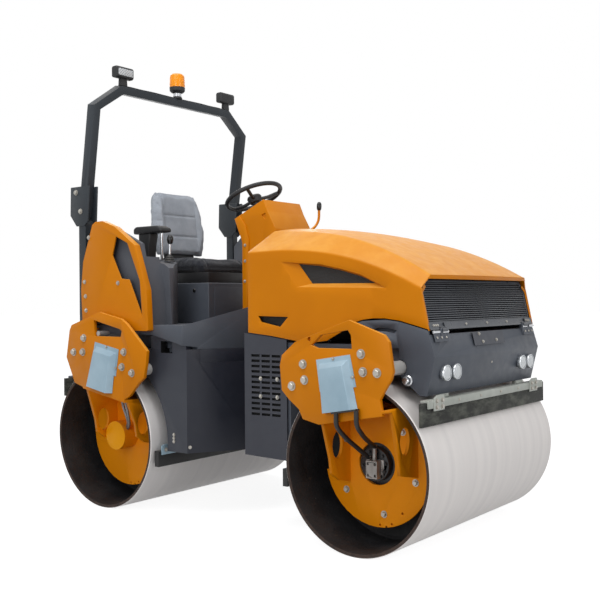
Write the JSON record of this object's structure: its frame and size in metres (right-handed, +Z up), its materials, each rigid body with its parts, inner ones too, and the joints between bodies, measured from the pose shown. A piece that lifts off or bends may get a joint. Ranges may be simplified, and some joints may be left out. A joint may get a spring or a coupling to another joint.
{
  "type": "tandem road roller",
  "caption": "Articulated ride-on road roller with two smooth steel drums, an open operator's platform, a foldable roll bar and a tilting hood.",
  "frame": {"origin": "on the ground, midway between the two drum axes and on the centre plane", "axes": "+X forward towards the hood, +Y to the operator's left, +Z up"},
  "size_m": [2.55, 1.49, 2.6083],
  "materials": {
    "yellow_paint": "gloss",
    "dark_grey_paint": "satin",
    "tank_grey": "satin",
    "drum_steel": "worn smooth",
    "zinc_plate": "bright",
    "black_metal": "satin",
    "black_plastic": "matt",
    "seat_cloth": "matt",
    "rops_paint": "satin",
    "scraper_grey": "satin",
    "bright_steel": "polished",
    "hose_rubber": "matt",
    "amber_lens": "gloss",
    "lamp_lens": "gloss"
  },
  "bodies": {
    "rear_unit": {"rear_chassis": "dark_grey_paint", "rear_tank": "tank_grey", "operator_deck": "dark_grey_paint", "rear_yoke_right": "yellow_paint", "rear_yoke_left": "yellow_paint", "rear_yoke_cover_right": "zinc_plate", "rear_yoke_cover_left": "zinc_plate", "rear_panel": "dark_grey_paint", "rear_scraper": "scraper_grey", "fender_right": "yellow_paint", "fender_left": "yellow_paint", "side_console_right": "dark_grey_paint", "side_console_left": "dark_grey_paint", "seat_pedestal": "black_metal", "control_box": "black_plastic", "steering_console": "yellow_paint", "travel_lever": "yellow_paint", "rops_post_right": "rops_paint", "rops_post_left": "rops_paint"},
    "pivot": {"pivot_link": "dark_grey_paint"},
    "front_unit": {"front_chassis": "dark_grey_paint", "front_yoke_right": "yellow_paint", "front_yoke_left": "yellow_paint", "front_yoke_cover_right": "zinc_plate", "front_yoke_cover_left": "zinc_plate", "front_drum_motor_right": "dark_grey_paint", "front_drum_motor_left": "dark_grey_paint", "front_hoses_right": "hose_rubber", "front_hoses_left": "hose_rubber", "front_panel": "dark_grey_paint", "front_scraper": "scraper_grey", "headlamps_right": "lamp_lens", "headlamps_left": "lamp_lens", "louvre_panel_right": "dark_grey_paint", "louvre_panel_left": "dark_grey_paint", "engine_block": "black_metal", "steer_barrel": "black_metal"},
    "steering_rod": {"steer_rod": "bright_steel"},
    "front_drum": {"front_drum": "drum_steel"},
    "rear_drum": {"rear_drum": "drum_steel"},
    "hood": {"hood_shell": "yellow_paint", "grille": "black_metal"},
    "roll_bar": {"rops_frame": "rops_paint", "work_light_right": "black_plastic", "work_light_left": "black_plastic", "beacon": "amber_lens"},
    "wheel": {"steering_wheel": "black_plastic"},
    "seat": {"seat_base": "black_metal", "seat_cushion": "seat_cloth"},
    "backrest": {"seat_backrest": "seat_cloth"}
  },
  "joints": [
    {"name": "oscillation", "type": "hinge", "parent": "rear_unit", "child": "pivot", "pos_m": [-0.1, 0, 0.61], "axis": [1, 0, 0], "range_deg": [-6, 6]},
    {"name": "articulation", "type": "hinge", "parent": "pivot", "child": "front_unit", "pos_m": [0, 0, 0.61], "axis": [0, 0, 1], "range_deg": [-30, 30]},
    {"name": "steering_cylinder", "type": "slide", "parent": "front_unit", "child": "steering_rod", "axis": [1, 0, 0], "range_m": [-0.072, 0.072]},
    {"name": "front_drum_spin", "type": "hinge", "parent": "front_unit", "child": "front_drum", "pos_m": [0.875, 0, 0.4], "axis": [0, 1, 0], "continuous": true},
    {"name": "rear_drum_spin", "type": "hinge", "parent": "rear_unit", "child": "rear_drum", "pos_m": [-0.875, 0, 0.4], "axis": [0, 1, 0], "continuous": true},
    {"name": "hood_hinge", "type": "hinge", "parent": "front_unit", "child": "hood", "pos_m": [1.222, 0, 1.036], "axis": [0, 1, 0], "range_deg": [0, 65]},
    {"name": "roll_bar_hinge", "type": "hinge", "parent": "rear_unit", "child": "roll_bar", "pos_m": [-1.045, 0, 1.7], "axis": [0, 1, 0], "range_deg": [-110, 0]},
    {"name": "steering_wheel_spin", "type": "hinge", "parent": "rear_unit", "child": "wheel", "pos_m": [-0.28953, 0, 1.78707], "axis": [-0.4046, 0, 0.9145], "continuous": true},
    {"name": "seat_slide", "type": "slide", "parent": "rear_unit", "child": "seat", "axis": [1, 0, 0], "range_m": [-0.06, 0.09]},
    {"name": "backrest_hinge", "type": "hinge", "parent": "seat", "child": "backrest", "pos_m": [-0.919, 0, 1.43], "axis": [0, 1, 0], "range_deg": [-15, 5]}
  ],
  "couplings": [
    {"joint": "steering_cylinder", "follows": "articulation", "m_per_rad": 0.1337}
  ]
}
